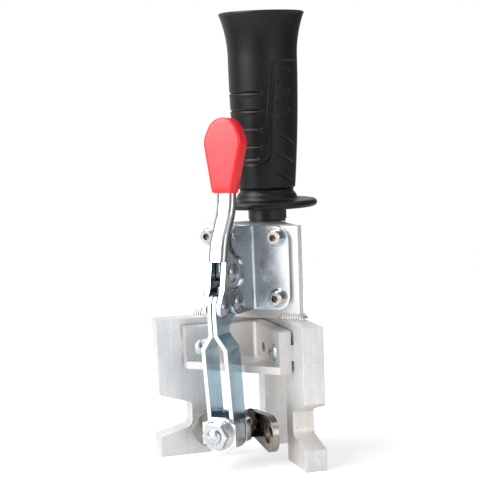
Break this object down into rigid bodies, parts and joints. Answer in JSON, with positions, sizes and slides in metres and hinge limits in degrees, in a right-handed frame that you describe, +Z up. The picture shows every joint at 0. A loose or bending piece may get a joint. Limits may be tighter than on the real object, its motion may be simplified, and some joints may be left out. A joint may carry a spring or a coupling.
{
  "type": "corner clamp",
  "caption": "Corner clamp for picture frames: a V-shaped corner frame with an upright toggle clamp that drives a V pad into the corner, and an upright rubber hand grip.",
  "frame": {"origin": "the foot of the frame's inside corner line, on the surface the clamp stands on", "axes": "+Z up along the hand grip, -Y out of the mouth of the V, where the spindle is, and X across, with the plane X=0 halving the clamp"},
  "size_m": [0.1064, 0.1021, 0.2454],
  "materials": {
    "aluminium": "fine mill grain, satin",
    "cast_aluminium": "as cast, dull",
    "weld_metal": "bright weld ripple",
    "zinc_steel": "bluish zinc plate",
    "link_steel": "dark bluish zinc plate",
    "zinc_screw": "bright zinc plate",
    "stainless": "stainless, polished",
    "rivet_steel": "bright zinc plate",
    "nickel_plate": "bright nickel plate",
    "dark_weld": "scaled weld",
    "red_vinyl": "glossy dipped vinyl",
    "black_rubber": "moulded rubber, satin",
    "black_tube": "smooth black"
  },
  "bodies": {
    "frame": {"corner_frame": "aluminium", "mount_plate": "aluminium", "weld_beads": "weld_metal", "corner_bracket": "cast_aluminium", "bracket_screws": "zinc_screw", "base_plate_left": "zinc_steel", "base_plate_right": "zinc_steel", "flange_screws": "stainless", "flange_washers": "zinc_screw", "bar_rivet": "rivet_steel", "link_rivet": "rivet_steel", "grip_sleeve": "black_rubber", "grip_tube": "black_tube", "grip_foot_washer": "black_tube", "grip_bolt": "zinc_screw", "grip_nut": "zinc_screw"},
    "bar": {"bar_left": "zinc_steel", "bar_right": "zinc_steel", "spindle_stud": "zinc_screw", "front_nut": "zinc_screw", "rear_nut": "zinc_screw", "front_saddle": "zinc_steel", "rear_saddle": "zinc_steel", "v_pad": "nickel_plate", "pad_weld": "dark_weld"},
    "handle": {"handle_lever": "zinc_steel", "handle_rivet": "rivet_steel", "link_pin_heads": "rivet_steel", "vinyl_grip": "red_vinyl"},
    "link": {"links": "link_steel"}
  },
  "joints": [
    {"name": "bar_pivot", "type": "hinge", "parent": "frame", "child": "bar", "pos_m": [0, -0.0402, 0.0887], "axis": [-1, 0, 0], "range_deg": [0, 60]},
    {"name": "handle_pivot", "type": "hinge", "parent": "bar", "child": "handle", "pos_m": [0, -0.0555, 0.088], "axis": [1, 0, 0], "range_deg": [0, 132.3]},
    {"name": "link_pivot", "type": "hinge", "parent": "frame", "child": "link", "pos_m": [0, -0.0436, 0.1255], "axis": [-1, 0, 0], "range_deg": [0, 60.9]}
  ],
  "couplings": [
    {"joint": "handle_pivot", "follows": "bar_pivot", "ratio": 2.203},
    {"joint": "link_pivot", "follows": "bar_pivot", "ratio": 1.013}
  ]
}
